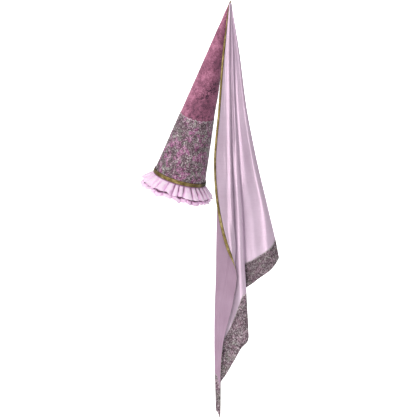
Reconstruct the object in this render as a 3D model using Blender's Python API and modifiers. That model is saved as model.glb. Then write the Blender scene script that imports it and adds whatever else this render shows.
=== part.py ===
"""Tall cone hat with a veil, as worn by a lady in a costume of the late Middle Ages.

The origin is the centre of the head opening, in the plane of the crown's rim. +Z is up as the
hat is worn, +X is the side that the cone leans to, and -Y is the side that the veil hangs on.
The cone leans back, and the veil hangs straight down from its tip.
"""

import math

import bmesh
import bpy
import numpy as np
from mathutils import Vector

# Crown: a stiff felt cone, 560 mm round inside its rim
HEAD_ROUND = 0.560
CROWN_WALL = 0.0020
CROWN_HEIGHT = 0.643
CROWN_TIP_RADIUS = 0.0030
CROWN_SIDES = 64
LEAN_ANGLE = math.radians(21.9)
LEAN_TURN = math.radians(-43.0)

# Air left between two pieces that are sewn or pressed together
GAP = 0.0003

# Brocade sleeve round the lower part of the crown, with a scalloped upper edge
SLEEVE_HEIGHT = 0.226
SLEEVE_FOOT = 0.0085
SLEEVE_WALL = 0.0010
SLEEVE_SCALLOPS = 24
SCALLOP_DEPTH = 0.0040
SLEEVE_RISE_AT_FRONT = 0.0060

# Frills: two rings of pleated cloth, their headings held under the gold band
FRILL_WALL = 0.0010
FRILL_PLEATS = 28
FRILL_HEADING = 0.0070
FRILL_PLEAT_DEPTH = 0.0030
FRILL_CURVE = (0.45, 0.40)
FRILL_REACH = 0.0310
UPPER_FRILL_DROP = 0.0280
LOWER_FRILL_DROP = 0.0460

# Columns of one pleat: where each lies as a share of the pleat, and its side, +1 ridge and -1 valley
PLEAT_COLUMNS = ((-0.30, 1), (0.22, 1), (0.40, -1), (0.52, -1))

# Gold band round the rim
BAND_FOOT = 0.0010
BAND_WIDTH = 0.0130
BAND_WALL = 0.0014
BAND_BEVEL = 0.0005

# Gold bead on the tip, with the pin that holds it
BEAD_RADIUS = 0.0036
BEAD_SEAT_SHARE = 0.6
PIN_RADIUS = 0.0010
PIN_LENGTH = 0.0120

# Veil: one sheet of satin gathered at the tip, with a brocade hem and a gold braid on one edge
VEIL_WALL = 0.0010
VEIL_DROP = 1.4060
VEIL_SPREAD = 0.2240
VEIL_DEPTH = 0.0320
VEIL_HEAD_DROP = 0.0015
VEIL_LAYER_STEP = 0.0023
SEAM_GAP = 0.0030
BRAID_WALL = 0.0012
BRAID_GAP = 0.0008

# Number of faces across each fold, down the satin, and down the hem. The braid is one face wide.
ACROSS_A_FOLD = 3
DOWN_THE_SATIN = 26
DOWN_THE_HEM = 3

# How far each section of the veil lies below the tip, as a share of VEIL_DROP
SECTION_DROPS = (0.113, 0.258, 0.391, 0.512, 0.597, 0.649, 0.717, 0.826, 1.0)

# One row for each fold line of the veil, from the braided edge to the plain edge.
#   head     angle round the tip in degrees (0 faces -Y) and layer outwards, where it is gathered
#   across   how far right of the tip it lies at each of SECTION_DROPS, as shares of VEIL_SPREAD
#   forward  how far towards -Y it lies at each of SECTION_DROPS, as shares of VEIL_DEPTH
#   hem      where it ends, and how deep the brocade is there, as shares of VEIL_DROP
FOLDS = {
    "braided_edge": dict(
        head=(-25, 2.0),
        across=(-0.106, -0.179, -0.244, -0.179, -0.048, 0.088, 0.050, -0.109, -0.156),
        forward=(0.06, 0.12, 0.16, 0.34, 0.66, 0.69, 0.44, 0.31, 0.25),
        hem=(1.000, 0.072)),
    "lapel_flat": dict(
        head=(-10, 2.1),
        across=(-0.062, -0.080, -0.080, -0.058, 0.026, 0.080, 0.000, -0.132, -0.167),
        forward=(0.22, 0.46, 0.68, 0.74, 0.82, 0.56, 0.34, 0.25, 0.19),
        hem=(0.996, 0.075)),
    "lapel_ridge": dict(
        head=(5, 2.1),
        across=(-0.014, -0.010, 0.004, 0.034, 0.078, 0.045, -0.053, -0.152, -0.176),
        forward=(0.28, 0.58, 0.82, 0.84, 0.60, 0.31, 0.28, 0.19, 0.16),
        hem=(0.993, 0.078)),
    "lapel_fold": dict(
        head=(15, 1.5),
        across=(0.000, 0.002, 0.018, 0.048, 0.035, -0.010, -0.098, -0.170, -0.185),
        forward=(0.16, 0.32, 0.42, 0.40, 0.25, 0.16, 0.19, 0.12, 0.09),
        hem=(0.989, 0.082)),
    "inner_panel": dict(
        head=(0, 1.0),
        across=(-0.038, -0.083, -0.114, -0.076, -0.061, -0.080, -0.159, -0.194, -0.197),
        forward=(0.00, 0.03, 0.09, 0.12, 0.12, 0.06, 0.06, 0.03, 0.03),
        hem=(0.986, 0.086)),
    "left_fold": dict(
        head=(-15, 0.5),
        across=(-0.076, -0.136, -0.189, -0.198, -0.206, -0.209, -0.224, -0.233, -0.209),
        forward=(-0.09, -0.19, -0.22, -0.19, -0.16, -0.16, -0.12, -0.09, -0.06),
        hem=(0.981, 0.090)),
    "hidden_panel": dict(
        head=(0, 0.0),
        across=(-0.038, -0.076, -0.091, -0.083, -0.076, -0.076, -0.106, -0.167, -0.190),
        forward=(-0.22, -0.41, -0.53, -0.53, -0.50, -0.47, -0.41, -0.34, -0.25),
        hem=(0.930, 0.088)),
    "roll_root": dict(
        head=(25, 0.0),
        across=(-0.004, -0.012, -0.010, 0.020, 0.032, 0.040, 0.030, -0.030, -0.080),
        forward=(-0.08, -0.10, -0.06, -0.04, -0.06, -0.10, -0.18, -0.26, -0.34),
        hem=(0.897, 0.108)),
    "roll_ridge": dict(
        head=(40, 0.9),
        across=(0.030, 0.053, 0.090, 0.128, 0.146, 0.154, 0.166, 0.156, 0.120),
        forward=(0.14, 0.24, 0.32, 0.36, 0.38, 0.38, 0.38, 0.34, 0.28),
        hem=(0.838, 0.122)),
    "roll_side": dict(
        head=(55, 0.5),
        across=(0.046, 0.080, 0.134, 0.192, 0.212, 0.230, 0.252, 0.282, 0.300),
        forward=(0.06, 0.10, 0.14, 0.16, 0.16, 0.16, 0.14, 0.12, 0.10),
        hem=(0.804, 0.108)),
    "flap_root": dict(
        head=(65, 0.0),
        across=(0.042, 0.068, 0.114, 0.162, 0.178, 0.184, 0.184, 0.200, 0.215),
        forward=(-0.16, -0.24, -0.34, -0.42, -0.46, -0.50, -0.56, -0.60, -0.64),
        hem=(0.708, 0.068)),
    "flap_flat": dict(
        head=(80, 0.5),
        across=(0.075, 0.126, 0.210, 0.300, 0.335, 0.360, 0.400, 0.460, 0.540),
        forward=(-0.10, -0.20, -0.24, -0.04, -0.06, -0.10, -0.16, -0.22, -0.30),
        hem=(0.674, 0.053)),
    "flap_ridge": dict(
        head=(94, 0.5),
        across=(0.112, 0.212, 0.352, 0.520, 0.572, 0.625, 0.705, 0.805, 0.965),
        forward=(0.06, 0.08, 0.30, 0.56, 0.52, 0.48, 0.42, 0.36, 0.30),
        hem=(0.644, 0.047)),
    "right_fold": dict(
        head=(108, 0.2),
        across=(0.136, 0.255, 0.417, 0.595, 0.712, 0.765, 0.840, 0.960, 1.150),
        forward=(-0.07, -0.12, -0.16, -0.16, -0.20, -0.22, -0.22, -0.22, -0.22),
        hem=(0.617, 0.045)),
    "plain_edge": dict(
        head=(122, 0.0),
        across=(0.118, 0.224, 0.379, 0.550, 0.667, 0.715, 0.790, 0.900, 1.080),
        forward=(-0.19, -0.38, -0.53, -0.56, -0.59, -0.59, -0.62, -0.62, -0.62),
        hem=(0.610, 0.045)),
}

# Sizes that follow from the ones above
RIM_INSIDE = HEAD_ROUND / (2 * math.pi)
RIM_OUTSIDE = RIM_INSIDE + CROWN_WALL
CROWN_TAPER = (RIM_OUTSIDE - CROWN_TIP_RADIUS) / CROWN_HEIGHT
PIN_HOLE = PIN_RADIUS + GAP
LEAN_AXIS = Vector((
    math.sin(LEAN_ANGLE) * math.cos(LEAN_TURN),
    math.sin(LEAN_ANGLE) * math.sin(LEAN_TURN),
    math.cos(LEAN_ANGLE)))


def crown_radius(height):
    """Outer radius of the crown at a height above its rim, along its axis."""
    return RIM_OUTSIDE - CROWN_TAPER * height


def make_collection(name):
    """A new collection in the scene."""
    collection = bpy.data.collections.new(name)
    bpy.context.scene.collection.children.link(collection)
    return collection


def make_material(name, colour, roughness, metallic=0.0, sheen=0.0):
    """A Principled material of one colour."""
    material = bpy.data.materials.new(name)
    material.use_nodes = True
    shader = material.node_tree.nodes["Principled BSDF"]
    shader.inputs["Base Color"].default_value = (*colour, 1.0)
    shader.inputs["Roughness"].default_value = roughness
    shader.inputs["Metallic"].default_value = metallic
    shader.inputs["Sheen Weight"].default_value = sheen
    return material


def add_object(name, mesh, collection, parent, material):
    """An object for a mesh, held by an empty."""
    thing = bpy.data.objects.new(name, mesh)
    collection.objects.link(thing)
    thing.parent = parent
    mesh.materials.append(material)
    return thing


def turned(name, profile, collection, parent, material, sides=CROWN_SIDES):
    """A closed outline of (radius, height) points, turned once round Z. It runs down its outer side."""
    mesh = bpy.data.meshes.new(name)
    count = len(profile)
    edges = [(i, (i + 1) % count) for i in range(count)]
    mesh.from_pydata([(r, 0.0, z) for r, z in profile], edges, [])
    thing = add_object(name, mesh, collection, parent, material)
    screw = thing.modifiers.new("Turn", "SCREW")
    screw.axis = "Z"
    screw.steps = screw.render_steps = sides
    screw.use_merge_vertices = True
    screw.merge_threshold = 0.00001
    screw.use_smooth_shade = True
    return thing


def cloth(name, points, wall, collection, parent, material, closed=False):
    """A wall of even thickness along a grid of points, rows by columns by XYZ. A closed grid is a ring.

    Every square of the grid is cut along the same diagonal, so two grids that run alike stay apart.
    """
    rows, columns = points.shape[:2]
    number = np.arange(rows * columns).reshape(rows, columns)
    if closed:
        number = np.concatenate([number, number[:, :1]], axis=1)
    lower = np.stack([number[:-1, :-1], number[1:, :-1], number[1:, 1:]], axis=-1)
    upper = np.stack([number[:-1, :-1], number[1:, 1:], number[:-1, 1:]], axis=-1)
    corners = np.concatenate([lower.reshape(-1, 3), upper.reshape(-1, 3)])
    mesh = bpy.data.meshes.new(name)
    mesh.from_pydata(points.reshape(-1, 3).tolist(), [], corners.tolist())
    mesh.shade_smooth()
    thing = add_object(name, mesh, collection, parent, material)
    solidify = thing.modifiers.new("Wall", "SOLIDIFY")
    solidify.thickness = wall
    solidify.offset = 0.0
    return thing


def smooth(stations, values, at):
    """Values between stations, on a curve that passes through each with the slope of its neighbours."""
    stations = np.asarray(stations, float)
    values = np.asarray(values, float)
    slopes = np.gradient(values, stations)
    i = np.clip(np.searchsorted(stations, at) - 1, 0, len(stations) - 2)
    span = stations[i + 1] - stations[i]
    t = np.clip((at - stations[i]) / span, 0.0, 1.0)
    before = values[i] * (1 + 2 * t) + slopes[i] * span * t
    after = values[i + 1] * (3 - 2 * t) - slopes[i + 1] * span * (1 - t)
    return before * (1 - t) ** 2 + after * t ** 2


def make_crown(collection, parent, material):
    """Hollow cone, open at the rim, with a hole for the bead's pin at the tip."""
    hole_foot = (RIM_INSIDE - PIN_HOLE) / CROWN_TAPER
    profile = [
        (PIN_HOLE, CROWN_HEIGHT), (CROWN_TIP_RADIUS, CROWN_HEIGHT),
        (RIM_OUTSIDE, 0.0), (RIM_INSIDE, 0.0), (PIN_HOLE, hole_foot)]
    return turned("velvet_crown", profile, collection, parent, material)


def make_sleeve(collection, parent, material):
    """Conical brocade sleeve whose upper edge rises at the front and runs in small scallops."""
    columns = 4 * SLEEVE_SCALLOPS
    angle = np.linspace(0, 2 * np.pi, columns, endpoint=False)
    rise = SLEEVE_RISE_AT_FRONT * np.sin(-angle)
    scallop = SCALLOP_DEPTH * np.abs(np.sin(angle * SLEEVE_SCALLOPS / 2))
    heights = np.stack([SLEEVE_HEIGHT + rise + scallop, np.full(columns, SLEEVE_FOOT)])
    radius = crown_radius(heights) + GAP + SLEEVE_WALL / 2
    points = np.stack([radius * np.cos(angle), radius * np.sin(angle), heights], axis=-1)
    return cloth("brocade_sleeve", points, SLEEVE_WALL, collection, parent, material, closed=True)


def frill_points(layer, drop):
    """Grid of a pleated ring: a heading that lies on the crown, then a curve out and down to the hem.

    The pleats get deeper towards the hem.
    """
    shift = GAP + FRILL_WALL / 2 + layer * (FRILL_WALL + GAP)
    start = np.array([RIM_OUTSIDE + shift, 0.0])
    middle = start + np.array([FRILL_CURVE[0] * FRILL_REACH, -FRILL_CURVE[1] * drop])
    end = start + np.array([FRILL_REACH, -drop])
    along = np.array([0.0, 0.45, 1.0])[:, None]
    path = start * (1 - along) ** 2 + 2 * middle * along * (1 - along) + end * along ** 2
    heading = np.array([[crown_radius(FRILL_HEADING) + shift, FRILL_HEADING]])
    path = np.concatenate([heading, path])
    depth = np.concatenate([[0.0], along[:, 0]]) * FRILL_PLEAT_DEPTH
    way = np.gradient(path, axis=0)
    way /= np.linalg.norm(way, axis=1)[:, None]
    outwards = np.stack([-way[:, 1], way[:, 0]], axis=1)
    share, side = np.array(PLEAT_COLUMNS).T
    wave = np.tile(side, FRILL_PLEATS)
    angle = (np.arange(FRILL_PLEATS)[:, None] + share).ravel() * 2 * np.pi / FRILL_PLEATS
    offset = outwards[:, None, :] * (depth[:, None] * wave)[:, :, None]
    radius = path[:, 0:1] + offset[:, :, 0]
    height = path[:, 1:2] + offset[:, :, 1]
    return np.stack([radius * np.cos(angle), radius * np.sin(angle), height], axis=-1)


def make_frills(collection, parent, material):
    """Upper frill over lower frill, pleated alike so that they nest."""
    rings = {"lower_frill": LOWER_FRILL_DROP, "upper_frill": UPPER_FRILL_DROP}
    for layer, (name, drop) in enumerate(rings.items()):
        cloth(name, frill_points(layer, drop), FRILL_WALL, collection, parent, material, closed=True)


def make_band(collection, parent, material):
    """Gold ribbon round the rim, outside both frill headings, with bevelled edges."""
    inside = GAP + 2 * (FRILL_WALL + GAP)
    outside = inside + BAND_WALL

    def at(out, height):
        return crown_radius(height) + out, height

    foot, top = BAND_FOOT, BAND_FOOT + BAND_WIDTH
    profile = [
        at(outside - BAND_BEVEL, top), at(outside, top - BAND_BEVEL),
        at(outside, foot + BAND_BEVEL), at(outside - BAND_BEVEL, foot),
        at(inside, foot), at(inside, top)]
    return turned("gold_band", profile, collection, parent, material)


def make_bead(collection, parent, material):
    """Bead that rests on the tip, and the pin below it."""
    rest = CROWN_HEIGHT + GAP
    seat_turn = -math.acos(BEAD_SEAT_SHARE)
    centre = rest - BEAD_RADIUS * math.sin(seat_turn)
    turns = np.linspace(math.pi / 2, seat_turn, 9)[1:]
    ball = [(BEAD_RADIUS * math.cos(t), centre + BEAD_RADIUS * math.sin(t)) for t in turns]
    profile = [(0.0, centre + BEAD_RADIUS), *ball]
    profile += [(PIN_RADIUS, ball[-1][1]), (PIN_RADIUS, rest - PIN_LENGTH), (0.0, rest - PIN_LENGTH)]
    thing = turned("tip_bead", profile, collection, parent, material, sides=16)
    bm = bmesh.new()
    bm.from_mesh(thing.data)
    on_axis = [edge for edge in bm.edges if all(v.co.x < 1e-9 for v in edge.verts)]
    bmesh.ops.delete(bm, geom=on_axis, context="EDGES")
    bm.to_mesh(thing.data)
    bm.free()
    return thing


def fold_tables():
    """The stations' drops, and how far right and forward of the tip each fold line lies at them."""
    drops = np.array([VEIL_HEAD_DROP, *(share * VEIL_DROP for share in SECTION_DROPS)])
    across, forward = [], []
    for fold in FOLDS.values():
        angle, layer = math.radians(fold["head"][0]), fold["head"][1]
        out = CROWN_TIP_RADIUS + GAP + VEIL_WALL / 2 + layer * VEIL_LAYER_STEP
        across.append([out * math.sin(angle), *(share * VEIL_SPREAD for share in fold["across"])])
        forward.append([out * math.cos(angle), *(share * VEIL_DEPTH for share in fold["forward"])])
    return drops, across, forward


def veil_points(columns, drops):
    """Points of the veil in the tip's frame, at columns counted in fold lines and a grid of drops."""
    stations, across, forward = fold_tables()
    folds = np.arange(len(FOLDS))
    rows = []
    for row in drops:
        x_at = np.stack([smooth(stations, line, row) for line in across])
        y_at = np.stack([smooth(stations, line, row) for line in forward])
        x = np.array([smooth(folds, x_at[:, j], columns[j]) for j in range(len(columns))])
        y = np.array([smooth(folds, y_at[:, j], columns[j]) for j in range(len(columns))])
        rows.append(np.stack([x, -y, -row], axis=-1))
    return np.array(rows)


def hem_lines(columns):
    """Drop of the hem and of the seam between satin and brocade, at each column."""
    folds = np.arange(len(FOLDS))
    end = smooth(folds, [fold["hem"][0] for fold in FOLDS.values()], columns) * VEIL_DROP
    trim = smooth(folds, [fold["hem"][1] for fold in FOLDS.values()], columns) * VEIL_DROP
    return end, end - trim


def make_veil(collection, parent, satin, brocade, gold):
    """Satin sheet, brocade hem below it, and gold braid on the front face of the first strip of both."""
    columns = np.linspace(0, len(FOLDS) - 1, (len(FOLDS) - 1) * ACROSS_A_FOLD + 1)
    end, seam = hem_lines(columns)
    down = np.linspace(0, 1, DOWN_THE_SATIN + 1)[:, None]
    satin_drops = VEIL_HEAD_DROP + (seam - SEAM_GAP / 2 - VEIL_HEAD_DROP) * down
    sheet = veil_points(columns, satin_drops)
    cloth("veil_satin", sheet, VEIL_WALL, collection, parent, satin)
    down = np.linspace(0, 1, DOWN_THE_HEM + 1)[:, None]
    hem_drops = seam + SEAM_GAP / 2 + (end - seam - SEAM_GAP / 2) * down
    hem = veil_points(columns, hem_drops)
    cloth("veil_brocade_hem", hem, VEIL_WALL, collection, parent, brocade)

    edge = np.concatenate([sheet, hem])[:, :3]
    normal = np.cross(np.gradient(edge, axis=0), np.gradient(edge, axis=1))
    normal /= np.linalg.norm(normal, axis=2)[:, :, None]
    lift = VEIL_WALL / 2 + BRAID_GAP + BRAID_WALL / 2
    braid = (edge + normal * lift)[:, :2]
    cloth("veil_gold_braid", braid, BRAID_WALL, collection, parent, gold)


def main():
    """Clears the scene and builds the hat."""
    for thing in list(bpy.data.objects):
        bpy.data.objects.remove(thing)
    velvet = make_material("rose velvet", (0.50, 0.17, 0.25), 0.85, sheen=0.6)
    brocade = make_material("silver and plum brocade", (0.33, 0.21, 0.27), 0.55, metallic=0.3)
    frill = make_material("pale pink frill", (0.88, 0.62, 0.80), 0.7)
    gold = make_material("old gold", (0.45, 0.33, 0.11), 0.4, metallic=0.9)
    satin = make_material("lilac satin", (0.68, 0.45, 0.60), 0.3, sheen=0.3)

    hat = make_collection("princess_hat")
    crown_frame = bpy.data.objects.new("crown_frame", None)
    crown_frame.rotation_euler = LEAN_AXIS.to_track_quat("Z", "Y").to_euler()
    tip_frame = bpy.data.objects.new("tip_frame", None)
    tip_frame.location = LEAN_AXIS * CROWN_HEIGHT
    for empty in (crown_frame, tip_frame):
        hat.objects.link(empty)

    make_crown(hat, crown_frame, velvet)
    make_sleeve(hat, crown_frame, brocade)
    make_frills(hat, crown_frame, frill)
    make_band(hat, crown_frame, gold)
    make_bead(hat, crown_frame, gold)
    make_veil(hat, tip_frame, satin, brocade, gold)


main()
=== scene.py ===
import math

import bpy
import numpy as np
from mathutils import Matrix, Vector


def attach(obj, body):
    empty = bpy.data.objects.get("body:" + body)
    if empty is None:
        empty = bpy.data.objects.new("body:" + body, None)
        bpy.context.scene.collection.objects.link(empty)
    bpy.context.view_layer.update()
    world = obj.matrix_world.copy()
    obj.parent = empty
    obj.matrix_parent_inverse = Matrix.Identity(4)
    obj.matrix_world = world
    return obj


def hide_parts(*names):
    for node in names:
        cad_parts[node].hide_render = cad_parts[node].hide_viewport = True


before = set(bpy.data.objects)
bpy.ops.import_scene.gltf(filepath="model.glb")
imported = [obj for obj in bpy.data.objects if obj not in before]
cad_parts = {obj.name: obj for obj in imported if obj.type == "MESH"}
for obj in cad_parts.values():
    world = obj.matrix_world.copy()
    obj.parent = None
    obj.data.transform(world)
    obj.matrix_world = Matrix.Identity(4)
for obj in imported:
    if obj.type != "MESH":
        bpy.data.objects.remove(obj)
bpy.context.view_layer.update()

# Tall cone hat of rose velvet with brocade, frills and a long satin veil, dressed over its CAD
# frame. Lengths are in metres. The origin is the centre of the head opening, +Z is up, and -Y
# faces the camera.

# Camera, floor and light. The photo looks level at the hat from straight ahead, from far away, on
# plain white. One pixel of its 420 is 3.396 mm at the veil. A pale floor curves up into a backdrop,
# and large soft lamps stand to the left, the right and above.

PIXEL = 0.003396
PHOTO_SIDE = 420
PHOTO_CENTRE = (0.1073, -0.1070)
VEIL_PLANE_Y = -0.164
CAMERA_DISTANCE = 7.0
SENSOR_MM = 36.0
SKY_STRENGTH = 0.42
FLOOR_Z = -0.95
FLOOR_FRONT_Y = -0.8
FLOOR_HALF_WIDTH = 7.0
BACKDROP_Y = 9.0
BACKDROP_BEND = 2.0
BACKDROP_TOP = 8.0
LAMPS = (
    dict(name="key", where=(-1.7, -5.0, 0.7), aim=(0.1, -0.1, -0.1), size=1.3, watts=155.0,
         code="fffaf6"),
    dict(name="fill", where=(2.8, -3.0, 0.4), aim=(0.1, -0.1, -0.1), size=1.6, watts=4.0,
         code="f6f4ff"),
    dict(name="top", where=(-0.6, -0.9, 2.2), aim=(0.0, -0.1, 0.0), size=0.7, watts=16.0,
         code="ffffff"),
)


def colour(code):
    """Linear red, green, blue and alpha of an sRGB hex code."""
    parts = [int(code[i:i + 2], 16) / 255 for i in (0, 2, 4)]
    return (*[p / 12.92 if p <= 0.04045 else ((p + 0.055) / 1.055) ** 2.4 for p in parts], 1.0)


class Shader:
    """A Principled material whose nodes are each added and linked in one call."""

    def __init__(self, name, **inputs):
        self.material = bpy.data.materials.new(name)
        self.material.use_nodes = True
        self.tree = self.material.node_tree
        self.surface = self.tree.nodes["Principled BSDF"]
        self.fill(self.surface, {key.replace("_", " "): value for key, value in inputs.items()})

    def fill(self, node, inputs):
        """Sets each named or numbered input to a value, or links another node's output to it."""
        for key, value in inputs.items():
            if isinstance(value, bpy.types.NodeSocket):
                self.tree.links.new(value, node.inputs[key])
            else:
                node.inputs[key].default_value = value

    def add(self, kind, inputs, out=0, **settings):
        """Adds a node and returns one of its outputs."""
        node = self.tree.nodes.new("ShaderNode" + kind)
        for key, value in settings.items():
            setattr(node, key, value)
        self.fill(node, inputs)
        return node.outputs[out]

    def place(self, source="Object", scale=(1.0, 1.0, 1.0)):
        """Coordinates of a kind, in metres, stretched along each axis."""
        raw = self.add("TexCoord", {}, out=source)
        return self.add("Mapping", {"Vector": raw, "Scale": scale})

    def noise(self, where, scale, detail=3.0, roughness=0.55, distortion=0.0):
        """Noise from 0 to 1 whose grain is about 1 / scale metres."""
        return self.add("TexNoise", {
            "Vector": where, "Scale": scale, "Detail": detail, "Roughness": roughness,
            "Distortion": distortion})

    def math(self, operation, a, b=0.0):
        """One sum, product or other operation."""
        return self.add("Math", {0: a, 1: b}, operation=operation)

    def plus(self, a, b, times):
        """A value and so many times another."""
        return self.math("ADD", a, self.math("MULTIPLY", b, times))

    def span(self, value, low, high, to_low=0.0, to_high=1.0):
        """The value from low to high, eased to run from to_low to to_high."""
        return self.add("MapRange", {0: value, 1: low, 2: high, 3: to_low, 4: to_high},
                        interpolation_type="SMOOTHSTEP")

    def mix(self, share, a, b, blend="MIX"):
        """Colour a going over to colour b."""
        return self.add("Mix", {0: share, 6: a, 7: b}, out=2, data_type="RGBA", blend_type=blend)

    def ramp(self, value, stops):
        """Colour of a value, from rows of position and hex code."""
        node = self.tree.nodes.new("ShaderNodeValToRGB")
        self.tree.links.new(value, node.inputs[0])
        bar = node.color_ramp.elements
        while len(bar) < len(stops):
            bar.new(0.5)
        for element, (position, code) in zip(bar, stops):
            element.position = position
            element.color = colour(code)
        return node.outputs[0]

    def bump(self, height, depth, before=None):
        """A bump whose height of 1 stands for depth metres."""
        inputs = {"Height": height, "Strength": 1.0, "Distance": depth}
        if before is not None:
            inputs["Normal"] = before
        return self.add("Bump", inputs)


def lamp(name, where, aim, size, watts, code):
    """A square area lamp that faces a point."""
    data = bpy.data.lights.new(name, "AREA")
    data.shape = "SQUARE"
    data.size = size
    data.energy = watts
    data.color = colour(code)[:3]
    thing = bpy.data.objects.new(name, data)
    thing.location = where
    thing.rotation_euler = (Vector(aim) - Vector(where)).to_track_quat("-Z", "Y").to_euler()
    bpy.context.scene.collection.objects.link(thing)


def make_studio():
    """Camera, lamps, white surroundings, and a floor that curves up into the backdrop."""
    scene = bpy.context.scene
    scene.view_settings.view_transform = "Standard"
    data = bpy.data.cameras.new("camera")
    data.sensor_width = SENSOR_MM
    data.lens = data.sensor_width * CAMERA_DISTANCE / (PHOTO_SIDE * PIXEL)
    data.clip_end = 40.0
    camera = bpy.data.objects.new("camera", data)
    camera.location = (PHOTO_CENTRE[0], VEIL_PLANE_Y - CAMERA_DISTANCE, PHOTO_CENTRE[1])
    camera.rotation_euler = (math.pi / 2, 0.0, 0.0)
    scene.collection.objects.link(camera)
    scene.camera = camera

    world = bpy.data.worlds.new("studio")
    world.use_nodes = True
    sky = world.node_tree.nodes["Background"].inputs
    sky["Color"].default_value = (1.0, 1.0, 1.0, 1.0)
    sky["Strength"].default_value = SKY_STRENGTH
    scene.world = world
    for fact in LAMPS:
        lamp(**fact)

    turn = np.linspace(0, np.pi / 2, 25)
    radius = BACKDROP_BEND
    bend_y = BACKDROP_Y - radius + radius * np.sin(turn)
    bend_z = FLOOR_Z + radius - radius * np.cos(turn)
    path_y = np.concatenate([[FLOOR_FRONT_Y], bend_y, [BACKDROP_Y]])
    path_z = np.concatenate([[FLOOR_Z], bend_z, [BACKDROP_TOP]])
    sides = (-FLOOR_HALF_WIDTH, FLOOR_HALF_WIDTH)
    points = [(x, y, z) for y, z in zip(path_y, path_z) for x in sides]
    faces = [(2 * i, 2 * i + 1, 2 * i + 3, 2 * i + 2) for i in range(len(path_y) - 1)]
    mesh = bpy.data.meshes.new("pale_floor")
    mesh.from_pydata(points, [], faces)
    mesh.shade_smooth()
    paper = Shader("studio paper", Base_Color=(0.93, 0.93, 0.93, 1.0), Roughness=0.9,
                   Emission_Color=(1.0, 1.0, 1.0, 1.0), Emission_Strength=0.95)
    mesh.materials.append(paper.material)
    floor = bpy.data.objects.new("pale_floor", mesh)
    scene.collection.objects.link(floor)


make_studio()


# Velvet crown: a cone of stiffened felt covered in crushed rose velvet, 2 mm thick. The pile is
# pressed flat in soft patches, so it shines in some and darkens in others. It hides the CAD cone.

RIM_INSIDE = 0.560 / (2 * math.pi)
CROWN_WALL = 0.0020
RIM_OUTSIDE = RIM_INSIDE + CROWN_WALL
CROWN_HEIGHT = 0.643
TIP_RADIUS = 0.0030
CROWN_TAPER = (RIM_OUTSIDE - TIP_RADIUS) / CROWN_HEIGHT
GAP = 0.0003
LEAN_ANGLE = math.radians(21.9)
LEAN_TURN = math.radians(-43.0)
LEAN_AXIS = Vector((
    math.sin(LEAN_ANGLE) * math.cos(LEAN_TURN),
    math.sin(LEAN_ANGLE) * math.sin(LEAN_TURN),
    math.cos(LEAN_ANGLE)))
LEAN = np.array(LEAN_AXIS.to_track_quat("Z", "Y").to_matrix())
TIP = np.array(LEAN_AXIS) * CROWN_HEIGHT
PIN_RADIUS = 0.0010
VEIL_SIDE = math.radians(315)

# Rows and columns of the mesh, the depths of the velvet's dents, and its bulge above the brocade:
# how deep, how high on the crown, and how far it reaches up and down and to the sides
CROWN_GRID = (180, 140)
DENT_DEPTH = 0.0004
FINE_DENT_DEPTH = 0.0002
BULGE_DEPTH = 0.0026
BULGE_HEIGHT = 0.325
BULGE_REACH = 0.050
BULGE_SPREAD = 0.35

# The velvet's pattern: its UV runs round the crown by this length at every height. One side is
# painted lighter, standing in for the light that falls on it from there, and the crumpled patch
# lies at a turn and a height, on a slant, with soft edges.
CROWN_UV_ROUND = 0.35
LIT_SIDE_ANGLE = 2.36
PAINTED_SIDE_LIGHT = 0.055
CRUMPLE_TURN = 0.73
CRUMPLE_HEIGHT = 0.346
CRUMPLE_SLANT = 0.22
CRUMPLE_REACH = (0.004, 0.042)
CRUMPLE_SPREAD = (0.06, 0.22)


def crown_radius(height):
    """Outer radius of the crown at a height above the rim, along its axis: a straight taper."""
    return RIM_OUTSIDE - CROWN_TAPER * height


def leaning(radius, angle, height):
    """Points round the crown's leaning axis, from grids of radius, angle and height."""
    radius, angle, height = np.broadcast_arrays(radius, angle, height)
    upright = np.stack([radius * np.cos(angle), radius * np.sin(angle), height], axis=-1)
    return upright @ LEAN.T


def soft_noise(x, y, seed, wrap=256):
    """Value noise from -1 to 1: random values on whole x and y, eased between.

    It repeats along x after wrap.
    """
    lattice = np.random.default_rng(seed).uniform(-1, 1, (256, 256))
    x, y = np.broadcast_arrays(x, y)
    i, j = np.floor(x).astype(int), np.floor(y).astype(int)
    s, t = x - i, y - j
    s, t = s * s * (3 - 2 * s), t * t * (3 - 2 * t)
    i0, i1, j0, j1 = i % wrap, (i + 1) % wrap, j % 256, (j + 1) % 256
    low = lattice[i0, j0] * (1 - s) + lattice[i1, j0] * s
    high = lattice[i0, j1] * (1 - s) + lattice[i1, j1] * s
    return low * (1 - t) + high * t


def normals(points, closed):
    """Unit normals of a grid: the cross product of its two directions at each point."""
    if closed:
        across = np.roll(points, -1, 1) - np.roll(points, 1, 1)
    else:
        across = np.gradient(points, axis=1)
    normal = np.cross(np.gradient(points, axis=0), across)
    return normal / np.maximum(np.linalg.norm(normal, axis=2), 1e-12)[:, :, None]


def lengths(points):
    """Distance along the rows and down the columns of a grid, in metres, for each point."""
    across = np.linalg.norm(np.diff(points, axis=1), axis=2)
    down = np.linalg.norm(np.diff(points, axis=0), axis=2)
    u = np.concatenate([np.zeros((len(points), 1)), np.cumsum(across, axis=1)], axis=1)
    v = np.concatenate([np.zeros((1, points.shape[1])), np.cumsum(down, axis=0)], axis=0)
    return u, v


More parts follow.
